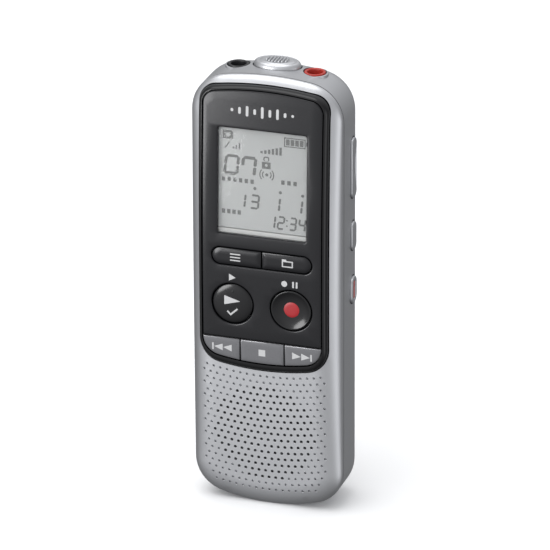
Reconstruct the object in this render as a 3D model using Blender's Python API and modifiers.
"""Pocket digital voice recorder, standing upright.

The screen and the keys face -Y, the volume rocker is on the +X side, the jacks and the microphone
are at the top, and Z runs up the length. The origin is the middle of the foot. Sizes are in
millimetres, and MM turns them into metres when a mesh is made.
"""
import math

import bmesh
import bpy
from mathutils import Matrix, Vector

MM = 0.001

# Body: a slab with arched ends, round corners and a soft edge at the front and the back.
BODY_HALF_WIDTH = 19.0
BODY_HEIGHT = 112.0
FOOT_FLAT = 0.25            # the lowest part of the bottom arch is cut flat to stand on
TOP_ARCH = 70.7
BOTTOM_ARCH = 45.1
TOP_CORNER = 9.6
BOTTOM_CORNER = 9.1
WALL = 1.5
GAP = 0.3                   # between neighbouring pieces

# Depths: the front face bows back towards both ends, the back is flat.
SHELL_FACE = -9.2
PANEL_FACE = -10.3
BACK_FACE = 10.5
FRONT_ROUND = 6.2
REAR_ROUND = 7.2
FRONT_EDGE = -4.65
REAR_RIM = FRONT_EDGE + GAP
REAR_EDGE = 3.5
BOW = 2.0
MIDDLE = BODY_HEIGHT / 2

# Front trim: a black frame around a raised panel.
PANEL_BACK = -9.05
LEDGE_FRONT = -8.75
LEDGE_BACK = -7.95
FRAME_PROUD = 0.35          # the panel's face stands this far above the frame's inner edge
FRAME_SUNK = 0.25           # the frame's outer edge lies this far below the shell's face
FRAME_THICKNESS = 0.95
PANEL_LOW_EDGE = 45.25
WINDOW_HALF_WIDTH = 11.2
WINDOW_LOW, WINDOW_HIGH = 72.2, 99.2

# Keys
KEY_FACE = -10.2
KEY_CAP_BACK = -9.3
KEY_BACK = -8.2
FLANGE_FRONT = -8.7
KEY_ROW_TOP = PANEL_LOW_EDGE - GAP
KEY_SEAM = 5.6
PILL_Z = 66.4
PILL_HALF_LENGTH = 12.75
PILL_HALF_HEIGHT = 2.35
ROUND_KEY_X = 7.4
ROUND_KEY_Z = 54.2
ROUND_KEY_HOLE = 5.35
KEY_CLEARANCE = 0.25
FLANGE_EXTRA = 0.4

# Side keys, centred on SIDE_Y: height of the middle, half height, half width.
SIDE_Y = 2.6
SIDE_FACE = 19.5
SIDE_KEY_BACK = 16.3
SIDE_FLANGE = 16.75         # clears the curved inner wall when the rocker tilts
ROCKER = (87.95, 7.75, 1.8)
REPEAT = (70.3, 3.7, 1.7)
ERASE = (56.2, 3.5, 2.0)
ERASE_MARK = (2.3, 0.55)
ROCKER_PIVOT_X = 16.6
HOLD = (88.0, 2.4, 1.2)
HOLD_SLOT_HALF = 4.2
HOLD_FLANGE_HALF = (6.2, 2.4)

# Batteries, size AAA, side by side in a tray behind the speaker.
CELL_RADIUS = 5.25
CELL_BODY = 43.7
CELL_NUB = 0.8
CELL_X = 5.6
CELL_Y = 3.4
TRAY_HALF_WIDTH = 12.1
TRAY_LOW, TRAY_HIGH = 6.2, 57.8
TRAY_FRONT, TRAY_BACK = -3.0, 7.6
TRAY_WALL = 0.8
TRAY_MIDDLE = (TRAY_LOW + TRAY_HIGH) / 2
CONTACT_THICKNESS = 0.4
CONTACT_RADIUS = 3.6
SPRING_WIRE = 0.25
SPRING_TURNS = 3

# Battery cover
COVER_HALF_WIDTH = 12.4
COVER_TOP = 58.0
COVER_FRONT = 9.1

# Speaker
SPEAKER_Z = 20.8
SPEAKER_RADIUS = 13.5

# Top end
JACK_X = 9.6
JACK_Y = 2.3
JACK_COLLAR = 3.3
JACK_RING = 2.6
JACK_BORE = 1.85
JACK_TOP = 111.6
JACK_BODY_TOP, JACK_BODY_LOW = 108.3, 96.5
JACK_BODY_RADIUS = 3.0
MIC_Y = 3.0
MIC_HALF_LENGTH = 5.9
MIC_HALF_WIDTH = 3.9
MIC_TOP = 113.6
MIC_LOW = 109.4

# Boards and screws
BOARD_FRONT, BOARD_BACK = -4.4, -3.4
BOARD_HALF_WIDTH = 12.6
BOARD_LOW, BOARD_HIGH = 36.0, 104.0
SCREW_X = 15.0
SCREW_HEIGHTS = (30.0, 102.5)
BOSS_RADIUS = 2.0
SCREW_PLACES = [(side * SCREW_X, height) for height in SCREW_HEIGHTS for side in (-1, 1)]
SCREW_HEAD = 1.65
SCREW_SHANK = 0.75
SCREW_TOP, SCREW_SEAT = 8.4, 7.5
SCREW_SHOULDER, SCREW_TIP = -2.6, -3.2

ROUND_STEPS = 24
SMOOTH_ANGLE = math.radians(35)

SILVER = ("silver", (0.62, 0.63, 0.65), 0.35, 0.6)
SILVER_DARK = ("silver_dark", (0.50, 0.51, 0.53), 0.38, 0.6)
BLACK_GLOSS = ("black_gloss", (0.01, 0.01, 0.012), 0.08, 0.0)
GUNMETAL = ("gunmetal", (0.05, 0.05, 0.055), 0.32, 0.5)
KEY_GREY = ("key_grey", (0.07, 0.07, 0.075), 0.30, 0.4)
CLEAR = ("clear_window", (0.9, 0.92, 0.9), 0.04, 0.0)
LCD_GREY = ("lcd_grey", (0.50, 0.53, 0.50), 0.25, 0.0)
WHITE_PLASTIC = ("white_plastic", (0.75, 0.75, 0.73), 0.45, 0.0)
BLACK_PLASTIC = ("black_plastic", (0.02, 0.02, 0.022), 0.40, 0.0)
RED_PLASTIC = ("red_plastic", (0.60, 0.03, 0.02), 0.30, 0.0)
RUBBER = ("rubber_grey", (0.12, 0.12, 0.12), 0.70, 0.0)
BOARD_GREEN = ("board_green", (0.03, 0.16, 0.07), 0.45, 0.0)
CHIP_BLACK = ("chip_black", (0.02, 0.02, 0.02), 0.50, 0.0)
METAL = ("plated_metal", (0.72, 0.72, 0.70), 0.25, 1.0)
CELL_WRAP = ("cell_wrap", (0.10, 0.18, 0.30), 0.30, 0.3)
CONE_PAPER = ("cone_paper", (0.06, 0.06, 0.06), 0.80, 0.0)


class Slab:
    """Upright outline with straight sides, arched ends and round corners."""

    def __init__(self, half_width, low, high, low_arch, high_arch, low_corner, high_corner):
        self.half_width, self.low, self.high = half_width, low, high
        self.ends = [self.end(low_arch, low_corner), self.end(high_arch, high_corner)]

    def end(self, arch, corner):
        """Radius of the arch, radius of the corner, and the corner's centre from the end's tip."""
        across = self.half_width - corner
        back = arch - math.sqrt((arch - corner) ** 2 - across ** 2)
        return arch, corner, across, back

    def inset(self, distance):
        (low_arch, low_corner, _, _), (high_arch, high_corner, _, _) = self.ends
        return Slab(self.half_width - distance, self.low + distance, self.high - distance,
                    low_arch - distance, high_arch - distance,
                    max(low_corner - distance, 0.5), max(high_corner - distance, 0.5))

    def end_points(self, end, arch_steps=4, corner_steps=5):
        """Points of half an end, from its tip out to the side, as (x, distance from the tip)."""
        arch, corner, across, back = self.ends[end]
        turn = math.atan2(across, arch - back)
        points = []
        for step in range(arch_steps):
            angle = turn * step / arch_steps
            points.append((arch * math.sin(angle), arch * (1 - math.cos(angle))))
        for step in range(corner_steps + 1):
            angle = turn + (math.pi / 2 - turn) * step / corner_steps
            points.append((across + corner * math.sin(angle), back - corner * math.cos(angle)))
        return points

    def points(self, side_steps=4):
        """The whole outline as (x, z), from the bottom's tip round by the right side."""
        right = [(x, self.low + up) for x, up in self.end_points(0)]
        top = [(x, self.high - down) for x, down in self.end_points(1)]
        start, stop = right[-1][1], top[-1][1]
        for step in range(1, side_steps):
            right.append((self.half_width, start + (stop - start) * step / side_steps))
        right += top[::-1]
        return right + [(-x, z) for x, z in right[-2:0:-1]]

    def depth(self, x, z):
        """Distance from a point inside the outline to its edge."""
        x = abs(x)
        nearest = self.half_width - x
        for (arch, corner, across, back), reach in zip(self.ends, (z - self.low, self.high - z)):
            if x > across and reach < back:
                nearest = min(nearest, corner - math.hypot(x - across, back - reach))
            elif reach < arch:
                nearest = min(nearest, arch - math.hypot(x, arch - reach))
        return nearest


BODY = Slab(BODY_HALF_WIDTH, -FOOT_FLAT, BODY_HEIGHT, BOTTOM_ARCH, TOP_ARCH, BOTTOM_CORNER, TOP_CORNER)
FRAME = Slab(16.3, 37.0, 110.1, 62.0, 80.0, 6.2, 4.4)
PANEL = Slab(15.0, 39.2, 109.0, 61.0, 79.0, 4.8, 3.2)
LEDGE = Slab(13.2, 41.0, 107.0, 59.0, 77.0, 3.2, 2.0)


# ---------------------------------------------------------------- surfaces

def bow(z):
    """How far the front face has moved back at a height."""
    return BOW * ((z - MIDDLE) / MIDDLE) ** 2


def rounded(across):
    """Height of a quarter of an ellipse, as a fraction, at a fraction of its width."""
    return math.sqrt(max(0.0, 1 - (1 - min(across, 1.0)) ** 2))


def skin(x, z):
    """Depth of the front shell's outer surface."""
    face = SHELL_FACE + bow(z)
    return FRONT_EDGE + (face - FRONT_EDGE) * rounded(BODY.depth(x, z) / FRONT_ROUND)


def bowed(y):
    """A surface that keeps the front face's bow, at a depth given for its middle."""
    return lambda x, z: y + bow(z)


def below_skin(distance):
    return lambda x, z: skin(x, z) + distance


def ring(slab, depth):
    """An outline placed in space, at one depth or at a depth worked out for each point."""
    at = depth if callable(depth) else lambda x, z: depth
    return [(x, at(x, z), max(z, 0.0)) for x, z in slab.points()]


# ---------------------------------------------------------------- making objects

def clear_scene():
    for obj in list(bpy.data.objects):
        bpy.data.objects.remove(obj, do_unlink=True)


def collection(name):
    made = bpy.data.collections.new(name)
    bpy.context.scene.collection.children.link(made)
    return made


def material(spec):
    name, colour, roughness, metallic = spec
    if name in bpy.data.materials:
        return bpy.data.materials[name]
    made = bpy.data.materials.new(name)
    made.use_nodes = True
    shader = made.node_tree.nodes["Principled BSDF"]
    shader.inputs["Base Color"].default_value = (*colour, 1.0)
    shader.inputs["Roughness"].default_value = roughness
    shader.inputs["Metallic"].default_value = metallic
    return made


def place(name, data, look):
    """Put new data in the scene: a part with a look, or a cutter without one."""
    obj = bpy.data.objects.new(name, data)
    if look is None:
        CUTTERS.objects.link(obj)
        obj.hide_render = True
        obj.display_type = "WIRE"
    else:
        PARTS.objects.link(obj)
        data.materials.append(material(look))
    return obj


def from_bmesh(name, mesh_work, look):
    bmesh.ops.recalc_face_normals(mesh_work, faces=mesh_work.faces)
    data = bpy.data.meshes.new(name)
    mesh_work.to_mesh(data)
    mesh_work.free()
    return place(name, data, look)


def origin_to(obj, x, y, z):
    """Move an object's origin without moving its shape."""
    point = Vector((x, y, z)) * MM
    obj.data.transform(Matrix.Translation(-point))
    obj.location = point
    return obj


def block(name, low, high, look, bevel=0.0):
    """A box between two corners, with rounded edges if asked."""
    size = [(b - a) * MM for a, b in zip(low, high)]
    centre = [(a + b) / 2 * MM for a, b in zip(low, high)]
    work = bmesh.new()
    bmesh.ops.create_cube(work, size=1.0)
    bmesh.ops.scale(work, vec=size, verts=work.verts)
    obj = from_bmesh(name, work, look)
    obj.location = centre
    if bevel:
        round_edges(obj, bevel)
    return obj


def round_edges(obj, width, segments=2):
    bevel = obj.modifiers.new("soft edges", "BEVEL")
    bevel.width = width * MM
    bevel.segments = segments
    bevel.limit_method = "ANGLE"
    bevel.angle_limit = SMOOTH_ANGLE


def boxed(name, centre_x, centre_z, half_x, half_z, near, far, look, bevel=0.0):
    """A box given by its middle in the front view and its two depths."""
    return block(name, (centre_x - half_x, near, centre_z - half_z),
                 (centre_x + half_x, far, centre_z + half_z), look, bevel)


AXIS_TURNS = {
    "X": Matrix(((0, 0, 1), (1, 0, 0), (0, 1, 0))),
    "Y": Matrix(((1, 0, 0), (0, 0, 1), (0, -1, 0))),
    "Z": Matrix.Identity(3),
}


def cylinder(name, radius, centre, axis, near, far, look):
    """A round bar along an axis; centre holds the other two coordinates in X, Y, Z order."""
    work = bmesh.new()
    bmesh.ops.create_cone(work, cap_ends=True, segments=ROUND_STEPS, radius1=radius * MM,
                          radius2=radius * MM, depth=(far - near) * MM)
    bmesh.ops.rotate(work, matrix=AXIS_TURNS[axis], verts=work.verts)
    obj = from_bmesh(name, work, look)
    position = list(centre)
    position.insert("XYZ".index(axis), (near + far) / 2)
    obj.location = Vector(position) * MM
    return obj


def turned(name, profile, centre, axis, look, hollow=False):
    """A turned shape: radius and position along the axis, from the high end down the outside."""
    data = bpy.data.meshes.new(name)
    count = len(profile)
    edges = [(i, i + 1) for i in range(count - 1)] + ([(count - 1, 0)] if hollow else [])
    data.from_pydata([(radius * MM, 0, along * MM) for radius, along in profile], edges, [])
    obj = place(name, data, look)
    spin = obj.modifiers.new("turn", "SCREW")
    spin.steps = spin.render_steps = ROUND_STEPS
    spin.use_merge_vertices = True
    spin.merge_threshold = 0.00001
    obj.matrix_world = AXIS_TURNS[axis].to_4x4()
    position = list(centre)
    position.insert("XYZ".index(axis), 0.0)
    obj.location = Vector(position) * MM
    return obj


def stadium(half_length, half_width, steps=6):
    """Outline with two straight sides and round ends, long way up."""
    straight = half_length - half_width
    points = []
    for sign in (1, -1):
        for step in range(steps + 1):
            angle = math.pi * step / steps
            points.append((sign * half_width * math.cos(angle),
                           sign * (straight + half_width * math.sin(angle))))
    return points


OUTLINE_TURNS = {**AXIS_TURNS, "Y": Matrix(((1, 0, 0), (0, 0, -1), (0, 1, 0)))}


def flat(name, outline, axis, near, far, look, centre=(0.0, 0.0)):
    """A flat outline of given thickness, made as a filled curve and turned into a mesh."""
    curve = bpy.data.curves.new(name, "CURVE")
    curve.dimensions = "2D"
    curve.fill_mode = "BOTH"
    curve.extrude = (far - near) / 2 * MM
    spline = curve.splines.new("POLY")
    spline.points.add(len(outline) - 1)
    for point, (across, up) in zip(spline.points, outline):
        point.co = (across * MM, up * MM, 0.0, 1.0)
    spline.use_cyclic_u = True
    drawn = bpy.data.objects.new(name + "_outline", curve)
    PARTS.objects.link(drawn)
    position = list(centre)
    position.insert("XYZ".index(axis), (near + far) / 2)
    drawn.matrix_world = Matrix.Translation(Vector(position) * MM) @ OUTLINE_TURNS[axis].to_4x4()
    return solid_from_curve(drawn, name, look)


def solid_from_curve(drawn, name, look):
    """Replace a curve object by a welded mesh object in the same place."""
    bpy.context.view_layer.update()
    evaluated = drawn.evaluated_get(bpy.context.evaluated_depsgraph_get())
    data = bpy.data.meshes.new_from_object(evaluated)
    data.materials.clear()
    work = bmesh.new()
    work.from_mesh(data)
    bmesh.ops.remove_doubles(work, verts=work.verts, dist=0.000001)
    bpy.data.meshes.remove(data)
    obj = from_bmesh(name, work, look)
    obj.matrix_world = drawn.matrix_world
    bpy.data.objects.remove(drawn, do_unlink=True)
    return obj


def loft(name, rings, look, closed=False):
    """Skin a row of rings. Open ends are capped rung by rung between the left and right sides."""
    work = bmesh.new()
    rows = [[work.verts.new(Vector(point) * MM) for point in points] for points in rings]
    pairs = list(zip(rows, rows[1:])) + ([(rows[-1], rows[0])] if closed else [])
    for first, second in pairs:
        for i in range(len(first)):
            j = (i + 1) % len(first)
            work.faces.new((first[i], first[j], second[j], second[i]))
    if not closed:
        for row in (rows[0], rows[-1]):
            cap(work, row)
    return from_bmesh(name, work, look)


def cap(work, row):
    """Close a ring that starts at its lowest tip, with rungs that run from side to side."""
    count = len(row)
    for i in range(count // 2):
        corners = [row[i], row[i + 1], row[-i - 1], row[-i % count]]
        work.faces.new(list(dict.fromkeys(corners)))


def boolean(obj, other, operation):
    step = obj.modifiers.new(operation.lower(), "BOOLEAN")
    step.operation = operation
    step.object = other
    step.solver = "EXACT"
    return obj


def cut(obj, *cutters):
    for cutter in cutters:
        boolean(obj, cutter, "DIFFERENCE")
    return obj


def join(obj, *others):
    for other in others:
        boolean(obj, other, "UNION")
    return obj


# ---------------------------------------------------------------- casing

def front_depth(wall, rise):
    """Depth, from the rim towards the face, at a share of the way up the rounding."""
    return lambda x, z: FRONT_EDGE + (SHELL_FACE + bow(z) + wall - FRONT_EDGE) * rise


def front_rings(wall):
    """Rings over the front half, from the open rim to the edge of its bowed face."""
    rings = []
    steps = 5
    for step in range(steps + 1):
        angle = math.pi / 2 * step / steps
        slab = BODY.inset(wall + (FRONT_ROUND - wall) * (1 - math.cos(angle)))
        rings.append(ring(slab, front_depth(wall, math.sin(angle))))
    return rings


def rear_rings(wall):
    """Rings over the rear half, from the open rim to the edge of its flat back."""
    rings = [ring(BODY.inset(wall), REAR_RIM)]
    steps = 5
    for step in range(steps + 1):
        angle = math.pi / 2 * step / steps
        slab = BODY.inset(wall + (REAR_ROUND - wall) * (1 - math.cos(angle)))
        rings.append(ring(slab, REAR_EDGE + (BACK_FACE - wall - REAR_EDGE) * math.sin(angle)))
    return rings


def front_shell():
    shell = loft("front_shell", front_rings(0.0)[::-1] + front_rings(WALL), SILVER)
    opening = FRAME.inset(-0.2)
    hole = loft("cut_frame_opening", [ring(opening, -14.0), ring(opening, FRONT_EDGE - 0.3)], None)
    cut(shell, hole)
    for number, (x, height) in enumerate(SCREW_PLACES, 1):
        boss = cylinder(f"boss_front_{number}", BOSS_RADIUS, (x, height), "Y", -5.4, 0.5, None)
        reach = math.copysign(17.8, x)
        web = block(f"web_{number}", (min(x, reach), -5.25, height - 1.3),
                    (max(x, reach), FRONT_EDGE - 0.15, height + 1.3), None)
        pilot = cylinder(f"cut_pilot_{number}", SCREW_SHANK + GAP, (x, height), "Y", -4.2, 2.0, None)
        join(shell, web, boss)
        cut(shell, pilot)
    return shell


def rear_shell():
    shell = loft("rear_shell", rear_rings(0.0)[::-1] + rear_rings(WALL), SILVER_DARK)
    for side, name in ((-1, "headphone"), (1, "microphone")):
        centre = (side * JACK_X, JACK_Y)
        collar = cylinder("collar_" + name, JACK_COLLAR, centre, "Z", 109.0, JACK_TOP - GAP, None)
        bore = cylinder("cut_jack_" + name, JACK_RING + KEY_CLEARANCE, centre, "Z", 100.0, 116.0, None)
        join(shell, collar)
        cut(shell, bore)
    mic = [ellipse_ring(MIC_HALF_LENGTH + KEY_CLEARANCE, MIC_HALF_WIDTH + KEY_CLEARANCE, z)
           for z in (104.0, 116.0)]
    cut(shell, loft("cut_mic", mic, None))
    for name, (z, half_z, half_y) in (("rocker", ROCKER), ("repeat", REPEAT), ("erase", ERASE)):
        cut(shell, flat("cut_" + name, stadium(half_z + GAP, half_y + GAP), "X", 16.0, 21.0, None,
                        (SIDE_Y, z)))
    cut(shell, flat("cut_hold", stadium(HOLD_SLOT_HALF, HOLD[2] + GAP), "X", -21.0, -16.0, None,
                    (SIDE_Y, HOLD[0])))
    cover_room = block("cut_cover", (-COVER_HALF_WIDTH - GAP, COVER_FRONT - GAP, -2.0),
                       (COVER_HALF_WIDTH + GAP, 14.0, COVER_TOP + GAP), None)
    cut(shell, cover_room)
    for number, place_on_back in enumerate(SCREW_PLACES, 1):
        boss = cylinder(f"boss_rear_{number}", BOSS_RADIUS, place_on_back, "Y", 0.8, 8.0, None)
        hole = cylinder(f"cut_screw_{number}", SCREW_SHANK + GAP, place_on_back, "Y", -1.0, 12.0, None)
        head = cylinder(f"cut_head_{number}", SCREW_HEAD + KEY_CLEARANCE, place_on_back, "Y",
                        SCREW_SEAT - GAP, 12.0, None)
        join(shell, boss)
        cut(shell, hole, head)
    return shell


def battery_cover():
    """The lower part of the back, down over the bottom edge, with a tongue at its top."""
    cover = loft("battery_cover", [ring(BODY, -2.0)] + rear_rings(0.0)[1:], SILVER_DARK)
    region = block("cover_region", (-COVER_HALF_WIDTH, COVER_FRONT, -2.0),
                   (COVER_HALF_WIDTH, 14.0, COVER_TOP), None)
    boolean(cover, region, "INTERSECT")
    tongue = block("cover_tongue", (-2.0, 7.9, 55.0), (2.0, 8.55, 60.2), None)
    root = block("cover_tongue_root", (-2.0, 7.9, 55.0), (2.0, COVER_FRONT + 0.4, 57.5), None)
    join(cover, root, tongue)
    return cover


def screws():
    """Four case screws, driven in from the back."""
    profile = [(0, SCREW_TOP), (SCREW_HEAD - 0.3, SCREW_TOP), (SCREW_HEAD, SCREW_TOP - 0.3),
               (SCREW_HEAD, SCREW_SEAT), (SCREW_SHANK, SCREW_SEAT), (SCREW_SHANK, SCREW_SHOULDER),
               (0, SCREW_TIP)]
    for number, place_on_back in enumerate(SCREW_PLACES, 1):
        turned(f"case_screw_{number}", profile, place_on_back, "Y", METAL)


# ---------------------------------------------------------------- front trim and display

def bezel_frame():
    wall = PANEL.inset(-GAP)
    rings = [ring(FRAME, below_skin(FRAME_SUNK)), ring(wall, bowed(PANEL_FACE + FRAME_PROUD)),
             ring(wall, bowed(LEDGE_FRONT)), ring(LEDGE, bowed(LEDGE_FRONT)),
             ring(LEDGE, bowed(LEDGE_BACK)), ring(FRAME, below_skin(FRAME_SUNK + FRAME_THICKNESS))]
    return loft("bezel_frame", rings, BLACK_GLOSS, closed=True)


def bowed_plate(name, slab, near, far, look):
    return loft(name, [ring(slab, bowed(near)), ring(slab, bowed(far))], look)


def front_panel():
    panel = bowed_plate("front_panel", PANEL, PANEL_FACE, PANEL_BACK, GUNMETAL)
    below = block("cut_key_row", (-20, -14, 30), (20, -4, PANEL_LOW_EDGE), None)
    window = block("cut_window", (-WINDOW_HALF_WIDTH, -14, WINDOW_LOW),
                   (WINDOW_HALF_WIDTH, -4, WINDOW_HIGH), None)
    pill = [(up, across) for across, up in stadium(PILL_HALF_LENGTH, PILL_HALF_HEIGHT)]
    slot = flat("cut_pill", pill, "Y", -14, -4, None, (0, PILL_Z))
    cut(panel, below, window, slot)
    for side, name in ((-1, "play"), (1, "record")):
        cut(panel, cylinder("cut_" + name, ROUND_KEY_HOLE, (side * ROUND_KEY_X, ROUND_KEY_Z), "Y",
                            -14, -4, None))
    return panel


def tilted_box(name, half_x, low, high, near, far, look):
    """A plate whose lower and upper edges both follow the bow of the front."""
    corners = [(-half_x, low), (half_x, low), (half_x, high), (-half_x, high)]
    rings = [[(x, y + bow(z), z) for x, z in corners] for y in (near, far)]
    work = bmesh.new()
    front, back = [[work.verts.new(Vector(point) * MM) for point in points] for points in rings]
    bmesh.ops.contextual_create(work, geom=front)
    bmesh.ops.contextual_create(work, geom=back)
    for i in range(4):
        j = (i + 1) % 4
        work.faces.new((front[i], front[j], back[j], back[i]))
    return from_bmesh(name, work, look)


def display():
    inner = WINDOW_HALF_WIDTH - 0.2
    tilted_box("display_window", inner, WINDOW_LOW + 0.2, WINDOW_HIGH - 0.2, -10.15, -9.4, CLEAR)
    tilted_box("lcd_glass", 12.6, 73.4, 104.2, -8.75, -7.55, LCD_GREY)
    holder = tilted_box("lcd_holder", 12.6, 70.8, 101.6, -7.25, -5.95, WHITE_PLASTIC)
    join(holder, tilted_box("holder_ledge", 12.6, 70.8, 73.1, -8.75, -6.4, None))
    block("lcd_connector", (-10.0, -5.8, 102.2), (10.0, -4.7, 103.8), RUBBER)


# ---------------------------------------------------------------- keys

def row_key(name, left, right, stem_left, stem_right):
    """A key of the bottom row: its cap is a slice of the panel's outline."""
    key = bowed_plate(name, PANEL, KEY_FACE, KEY_CAP_BACK, KEY_GREY)
    region = block(name + "_region", (left, -14, 30), (right, -4, KEY_ROW_TOP), None)
    boolean(key, region, "INTERSECT")
    stem = block(name + "_stem", (stem_left, KEY_CAP_BACK - 0.3, 42.6),
                 (stem_right, KEY_BACK, KEY_ROW_TOP - 0.6), None)
    join(key, stem)
    return origin_to(key, (stem_left + stem_right) / 2, KEY_CAP_BACK, 43.0)


def pill_key(name, side):
    """Half of the long pill above the round keys."""
    def half(grow, near, far, part, look):
        length = PILL_HALF_LENGTH - KEY_CLEARANCE + grow
        height = PILL_HALF_HEIGHT - KEY_CLEARANCE + grow
        outline = [(up, across) for across, up in stadium(length, height)]
        return flat(part, outline, "Y", near, far, look, (0, PILL_Z))
    key = half(0.0, KEY_FACE, KEY_BACK, name, KEY_GREY)
    flange = half(KEY_CLEARANCE, FLANGE_FRONT, KEY_BACK, name + "_flange", None)
    join(key, flange)
    low, high = sorted((side * GAP / 2, side * 20.0))
    region = block(name + "_region", (low, -14, 50), (high, -4, 80), None)
    boolean(key, region, "INTERSECT")
    return key


def round_keys():
    rim = ROUND_KEY_HOLE - KEY_CLEARANCE
    wide = rim + FLANGE_EXTRA
    foot = [(0, KEY_BACK), (wide, KEY_BACK), (wide, FLANGE_FRONT), (rim, FLANGE_FRONT)]
    domed = foot + [(rim, -9.9), (4.6, -10.2), (2.5, -10.42), (0, -10.5)]
    dished = foot + [(rim, -10.0), (4.9, -10.2), (4.6, -10.1), (3.0, -9.65), (0, -9.5)]
    turned("play_button", domed, (-ROUND_KEY_X, ROUND_KEY_Z), "Y", BLACK_GLOSS)
    turned("record_button", dished, (ROUND_KEY_X, ROUND_KEY_Z), "Y", BLACK_GLOSS)


def keypad():
    mat = block("keypad_membrane", (-12.6, -7.5, 41.4), (12.6, -6.9, 69.6), RUBBER)
    posts = [(-9.4, 43.2), (0.0, 43.2), (9.4, 43.2), (-ROUND_KEY_X, ROUND_KEY_Z),
             (ROUND_KEY_X, ROUND_KEY_Z), (-6.4, PILL_Z), (6.4, PILL_Z)]
    for number, spot in enumerate(posts):
        join(mat, cylinder(f"post_{number}", 1.3, spot, "Y", -7.1, -5.5, None))
    block("key_dome_sheet", (-12.4, -5.15, 40.0), (12.4, -4.75, 69.6), METAL)


def side_key(name, spec, look):
    """A key through the right-hand wall, with a flange that keeps it in."""
    z, half_z, half_y = spec
    key = flat(name, stadium(half_z, half_y), "X", SIDE_KEY_BACK, SIDE_FACE, look, (SIDE_Y, z))
    flange = flat(name + "_flange", stadium(half_z + 0.8, half_y + 0.8), "X", SIDE_KEY_BACK,
                  SIDE_FLANGE, None, (SIDE_Y, z))
    return join(key, flange)


def side_keys():
    rocker = side_key("volume_rocker", ROCKER, SILVER_DARK)
    waist = cylinder("cut_rocker_waist", 9.0, (SIDE_FACE + 8.75, ROCKER[0]), "Y", -4, 10, None)
    cut(rocker, waist)
    origin_at_pivot(rocker)
    side_key("repeat_button", REPEAT, SILVER_DARK)
    erase = side_key("erase_button", ERASE, SILVER)
    mark_half, mark_width = ERASE_MARK
    spot = (SIDE_Y, ERASE[0])
    cut(erase, flat("cut_erase_mark", stadium(mark_half + GAP, mark_width + GAP), "X", 18.5, 21.0,
                    None, spot))
    flat("erase_button_insert", stadium(mark_half, mark_width), "X", 18.8, SIDE_FACE - 0.05,
         RED_PLASTIC, spot)


def origin_at_pivot(rocker):
    """Put the rocker's origin on the axis that it turns about."""
    matrix = rocker.matrix_world.copy()
    pivot = Vector((ROCKER_PIVOT_X, SIDE_Y, ROCKER[0])) * MM
    rocker.data.transform(Matrix.Translation(-pivot) @ matrix)
    rocker.matrix_world = Matrix.Translation(pivot)


def hold_switch():
    """A slide switch on the left-hand side."""
    z, half_z, half_y = HOLD
    knob = flat("hold_slider", stadium(half_z, half_y), "X", -SIDE_FACE, -16.6, SILVER_DARK,
                (SIDE_Y, z))
    flange = flat("hold_flange", stadium(*HOLD_FLANGE_HALF), "X", -SIDE_FLANGE, -16.6, None,
                  (SIDE_Y, z))
    join(knob, flange)
    block("hold_switch_body", (-16.2, 0.6, z - 4.0), (-13.5, 4.6, z + 4.0), METAL)


def side_board():
    block("side_switch_board", (13.9, -1.0, 50.0), (14.7, 6.0, 98.0), BOARD_GREEN)
    for name, spec in (("volume_switch", ROCKER), ("repeat_switch", REPEAT), ("erase_switch", ERASE)):
        half = min(spec[1], 3.0)
        block(name, (15.0, SIDE_Y - 1.5, spec[0] - half), (15.8, SIDE_Y + 1.5, spec[0] + half), METAL)


# ---------------------------------------------------------------- power

def batteries():
    """Two cells in series, the second one upside down."""
    for number, side, up in ((1, -1, 1), (2, 1, -1)):
        start = TRAY_MIDDLE - up * (CELL_BODY + CELL_NUB) / 2 + up * 0.55
        profile = [(0, CELL_BODY + CELL_NUB), (1.7, CELL_BODY + CELL_NUB), (1.9, CELL_BODY),
                   (CELL_RADIUS - 0.4, CELL_BODY), (CELL_RADIUS, CELL_BODY - 0.5),
                   (CELL_RADIUS, 0.4), (CELL_RADIUS - 0.4, 0), (0, 0)]
        ends = [(radius, start + up * along) for radius, along in profile]
        turned(f"battery_{number}", ends if up > 0 else ends[::-1], (side * CELL_X, CELL_Y), "Z",
               CELL_WRAP)
        plate_contact(number, side * CELL_X, up)
        spring_contact(number, side * CELL_X, up)


def plate_contact(number, x, up):
    """The flat terminal at a cell's positive end: a disc with a raised middle."""
    wall = TRAY_MIDDLE + up * ((TRAY_HIGH - TRAY_LOW) / 2 - TRAY_WALL - GAP)
    profile = [(0, wall), (CONTACT_RADIUS, wall), (CONTACT_RADIUS, wall - up * CONTACT_THICKNESS),
               (2.0, wall - up * CONTACT_THICKNESS), (1.2, wall - up * 1.5), (0, wall - up * 1.5)]
    turned(f"positive_contact_{number}", profile if up > 0 else profile[::-1], (x, CELL_Y), "Z",
           METAL)


def spring_contact(number, x, up):
    """The conical coil at a cell's negative end."""
    wall = TRAY_MIDDLE - up * ((TRAY_HIGH - TRAY_LOW) / 2 - TRAY_WALL - GAP - SPRING_WIRE)
    tip = TRAY_MIDDLE - up * ((CELL_BODY + CELL_NUB) / 2 - 0.55 + GAP + SPRING_WIRE)
    steps = SPRING_TURNS * 12
    curve = bpy.data.curves.new(f"negative_spring_{number}", "CURVE")
    curve.dimensions = "3D"
    curve.bevel_depth = SPRING_WIRE * MM
    curve.bevel_resolution = 1
    curve.use_fill_caps = True
    spline = curve.splines.new("POLY")
    spline.points.add(steps)
    for step, point in enumerate(spline.points):
        share = step / steps
        angle = 2 * math.pi * SPRING_TURNS * share
        radius = 3.6 - 1.9 * share
        point.co = (radius * math.cos(angle) * MM, radius * math.sin(angle) * MM,
                    (wall + (tip - wall) * share) * MM, 1.0)
    coil = bpy.data.objects.new("spring_line", curve)
    PARTS.objects.link(coil)
    coil.location = Vector((x, CELL_Y, 0)) * MM
    return solid_from_curve(coil, f"negative_spring_{number}", METAL)


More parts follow.
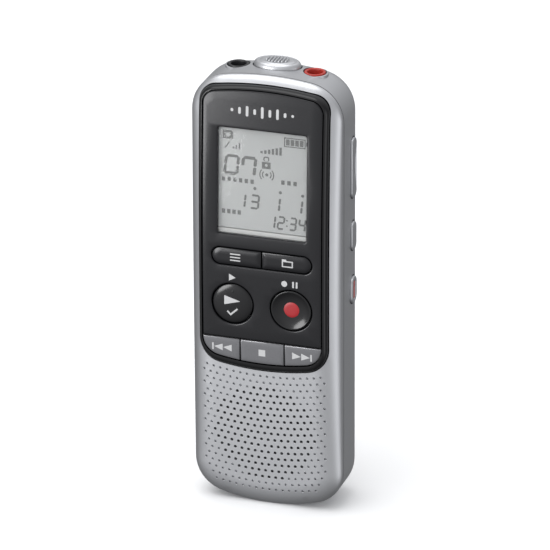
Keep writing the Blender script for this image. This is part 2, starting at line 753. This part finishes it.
def battery_tray():
    tray = block("battery_tray", (-TRAY_HALF_WIDTH, TRAY_FRONT, TRAY_LOW),
                 (TRAY_HALF_WIDTH, TRAY_BACK, TRAY_HIGH), BLACK_PLASTIC)
    room = block("cut_tray", (TRAY_WALL - TRAY_HALF_WIDTH, TRAY_FRONT + TRAY_WALL, TRAY_LOW + TRAY_WALL),
                 (TRAY_HALF_WIDTH - TRAY_WALL, TRAY_BACK + 5, TRAY_HIGH - TRAY_WALL), None)
    return cut(tray, room)


# ---------------------------------------------------------------- sound

def speaker():
    centre = (0.0, SPEAKER_Z)
    rim = SPEAKER_RADIUS
    turned("speaker_gasket", [(rim - 2.0, -5.65), (rim, -5.65), (rim, -6.0), (rim - 2.0, -6.0)],
           centre, "Y", RUBBER, hollow=True)
    frame = [(7.0, -3.95), (rim, -3.95), (rim, -5.35), (rim - 1.2, -5.35), (rim - 1.2, -4.35),
             (7.0, -4.35)]
    turned("speaker_frame", frame, centre, "Y", METAL, hollow=True)
    turned("speaker_magnet", [(0, -3.3), (6.7, -3.3), (6.7, -4.55), (0, -4.55)], centre, "Y", METAL)
    cone = [(0, -4.85), (5.0, -4.75), (rim - 1.6, -4.95), (rim - 1.6, -5.2), (5.0, -5.0), (0, -5.15)]
    turned("speaker_cone", cone, centre, "Y", CONE_PAPER)


def ellipse_ring(half_x, half_y, z, steps=32):
    """An oval, starting at its front tip, at one height above the microphone's place."""
    angles = [2 * math.pi * step / steps for step in range(steps)]
    return [(half_x * math.sin(a), MIC_Y - half_y * math.cos(a), z) for a in angles]


def microphone():
    shape = ((1.0, MIC_LOW), (1.0, 111.9), (0.94, 112.7), (0.78, 113.2), (0.5, 113.5), (0.2, MIC_TOP))
    rings = [ellipse_ring(MIC_HALF_LENGTH * grow, MIC_HALF_WIDTH * grow, z) for grow, z in shape]
    loft("mic_grille", rings, SILVER)
    cylinder("mic_capsule", 3.0, (0.0, MIC_Y), "Z", 104.9, 108.9, METAL)
    boot = [(3.3, 109.1), (3.9, 109.1), (3.9, 104.9), (3.3, 104.9)]
    turned("mic_boot", boot, (0.0, MIC_Y), "Z", RUBBER, hollow=True)


def jack(name, side, look):
    centre = (side * JACK_X, JACK_Y)
    floor = JACK_BODY_LOW + 2.0
    body = [(0, floor), (JACK_BORE, floor), (JACK_BORE, JACK_BODY_TOP),
            (JACK_BODY_RADIUS, JACK_BODY_TOP), (JACK_BODY_RADIUS, JACK_BODY_LOW), (0, JACK_BODY_LOW)]
    turned(name, body, centre, "Z", BLACK_PLASTIC)
    collar = [(JACK_BORE, JACK_TOP), (JACK_RING, JACK_TOP), (JACK_RING, JACK_BODY_TOP + GAP),
              (JACK_BORE, JACK_BODY_TOP + GAP)]
    turned(name + "_ring", collar, centre, "Z", look, hollow=True)


# ---------------------------------------------------------------- electronics

def electronics():
    block("main_board", (-BOARD_HALF_WIDTH, BOARD_FRONT, BOARD_LOW),
          (BOARD_HALF_WIDTH, BOARD_BACK, BOARD_HIGH), BOARD_GREEN)
    boxed("processor_chip", -3.5, 78.0, 5.0, 5.0, BOARD_BACK + GAP, -1.9, CHIP_BLACK, 0.15)
    boxed("memory_chip", 4.5, 90.0, 6.0, 4.0, BOARD_BACK + GAP, -2.1, CHIP_BLACK, 0.15)
    boxed("audio_chip", -5.0, 65.0, 2.5, 2.5, BOARD_BACK + GAP, -2.2, CHIP_BLACK, 0.15)
    cylinder("clock_crystal", 1.0, (7.0, -1.9), "Z", 68.0, 74.5, METAL)


def main():
    front_shell()
    rear_shell()
    battery_cover()
    screws()
    bezel_frame()
    front_panel()
    display()
    row_key("rewind_key", -20.0, -KEY_SEAM - GAP / 2, -11.4, -6.4)
    row_key("stop_key", -KEY_SEAM + GAP / 2, KEY_SEAM - GAP / 2, -4.6, 4.6)
    row_key("forward_key", KEY_SEAM + GAP / 2, 20.0, 6.4, 11.4)
    pill_key("menu_key", -1)
    pill_key("folder_key", 1)
    round_keys()
    keypad()
    side_keys()
    hold_switch()
    side_board()
    battery_tray()
    batteries()
    speaker()
    microphone()
    jack("headphone_jack", -1, BLACK_PLASTIC)
    jack("microphone_jack", 1, RED_PLASTIC)
    electronics()
    for obj in PARTS.objects:
        obj.data.shade_smooth()
        obj.data.set_sharp_from_angle(angle=SMOOTH_ANGLE)


clear_scene()
PARTS = collection("voice_recorder")
CUTTERS = collection("cutters")
main()
